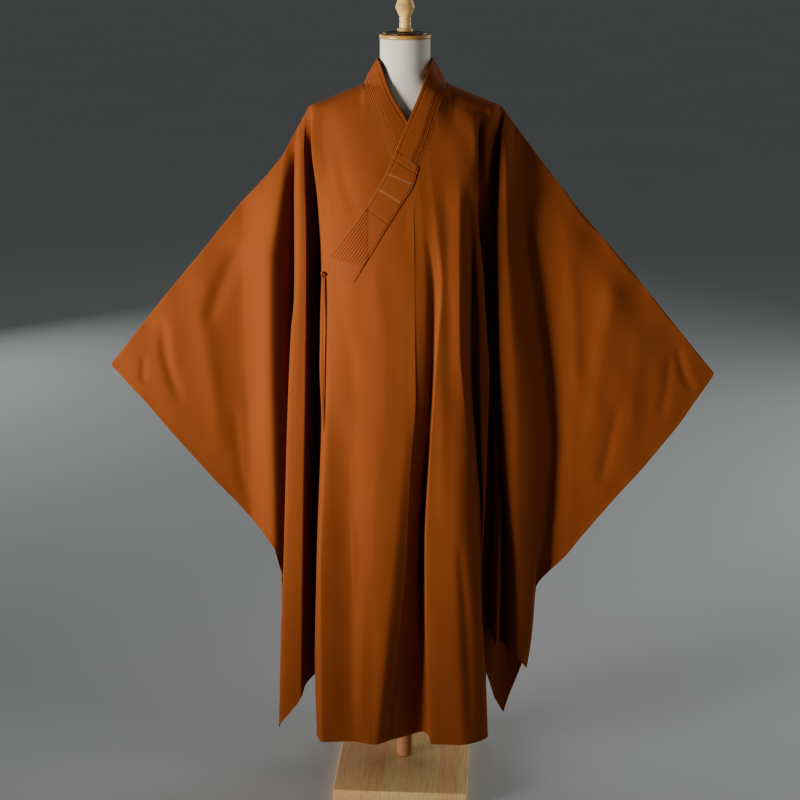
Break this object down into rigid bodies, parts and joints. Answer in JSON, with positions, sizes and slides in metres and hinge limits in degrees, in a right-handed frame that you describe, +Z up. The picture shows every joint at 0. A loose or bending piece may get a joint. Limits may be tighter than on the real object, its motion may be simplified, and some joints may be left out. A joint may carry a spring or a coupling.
{
  "type": "buddhist monk robe on dress form",
  "caption": "Buddhist monk robe with crossed layered collar, side tie and wide draped sleeves, hung open on a limbless dress form with a wooden stand.",
  "frame": {"origin": "middle of the base's underside, on the surface that the stand rests on", "axes": "+Z up; the robe's front faces -Y; +X towards the wearer's left"},
  "size_m": [1.2429, 0.3484, 1.698],
  "materials": {
    "robe_twill": "matte fine twill",
    "collar_twill": "matte fine twill, stitched through",
    "linen": "matte plain-weave linen stretched over the form",
    "walnut": "satin varnished",
    "maple": "satin varnished, turned",
    "pine": "satin varnished"
  },
  "bodies": {
    "root": {"overlap_front": "robe_twill", "left_front": "robe_twill", "right_front": "robe_twill", "left_back": "robe_twill", "right_back": "robe_twill", "right_sleeve_front": "robe_twill", "right_sleeve_back": "robe_twill", "left_sleeve_front": "robe_twill", "left_sleeve_back": "robe_twill", "collar_over": "collar_twill", "collar_over_step_1": "collar_twill", "collar_over_step_2": "collar_twill", "collar_under": "collar_twill", "collar_under_step_1": "collar_twill", "collar_under_step_2": "collar_twill", "collar_quilted": "collar_twill", "tie_tail": "collar_twill", "tie_knot": "collar_twill", "form_torso": "linen", "neck_cap": "walnut", "finial": "maple", "stand_base": "pine", "stand_pole": "pine"}
  },
  "joints": []
}
